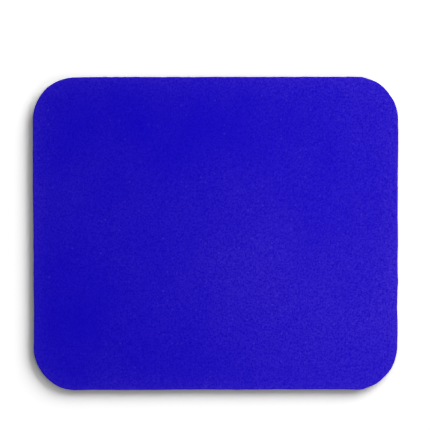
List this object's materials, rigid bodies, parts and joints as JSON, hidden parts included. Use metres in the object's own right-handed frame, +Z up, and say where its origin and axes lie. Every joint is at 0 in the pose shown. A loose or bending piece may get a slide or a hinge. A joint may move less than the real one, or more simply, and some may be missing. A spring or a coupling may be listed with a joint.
{
  "type": "mouse pad",
  "caption": "Flat cloth mouse pad, a rounded rectangle of blue knitted cloth bonded to black sponge rubber with a non-slip tread, on which a mouse is moved.",
  "frame": {"origin": "middle of the underside, on the surface that the pad lies on", "axes": "+X to the user's right along the long side, +Y away from the user, +Z up out of the cloth"},
  "size_m": [0.23, 0.1976, 0.005],
  "materials": {
    "cloth": "fine knitted polyester, royal blue, matt with a faint sheen",
    "bond": "cured laminating adhesive, dull and translucent",
    "foam": "black sponge rubber, open cells where it is cut, moulded skin underneath"
  },
  "bodies": {
    "root": {"cloth_top": "cloth", "bond_film": "bond", "foam_rubber_base": "foam"}
  },
  "joints": []
}
